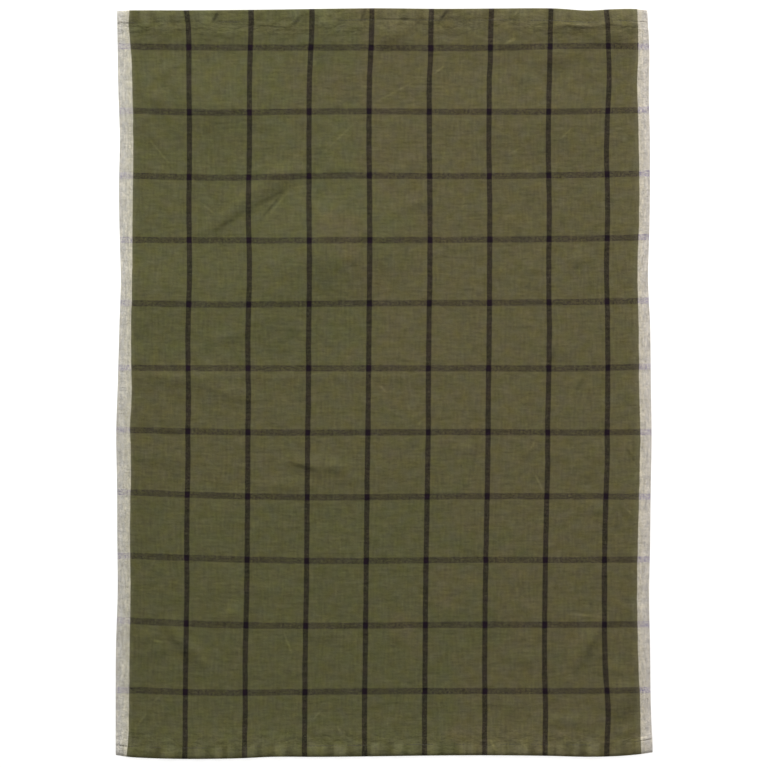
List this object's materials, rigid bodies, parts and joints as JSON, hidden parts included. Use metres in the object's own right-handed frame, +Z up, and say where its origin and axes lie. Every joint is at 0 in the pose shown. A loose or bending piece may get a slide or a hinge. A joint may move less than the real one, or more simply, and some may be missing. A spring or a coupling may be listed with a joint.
{
  "type": "tea towel",
  "caption": "Flat woven tea towel with hemmed ends, selvedge sides and a thin windowpane check, lying on a table with soft creases.",
  "frame": {"origin": "middle of the towel's outline, on the table it lies on", "axes": "+Z up from the table, +Y along the towel's length towards its top hem, +X across its width"},
  "size_m": [0.5028, 0.7036, 0.0039],
  "materials": {
    "cloth": "matt plain weave, olive with thin dark checks and pale undyed side strips"
  },
  "bodies": {
    "root": {"cloth": "cloth"}
  },
  "joints": []
}
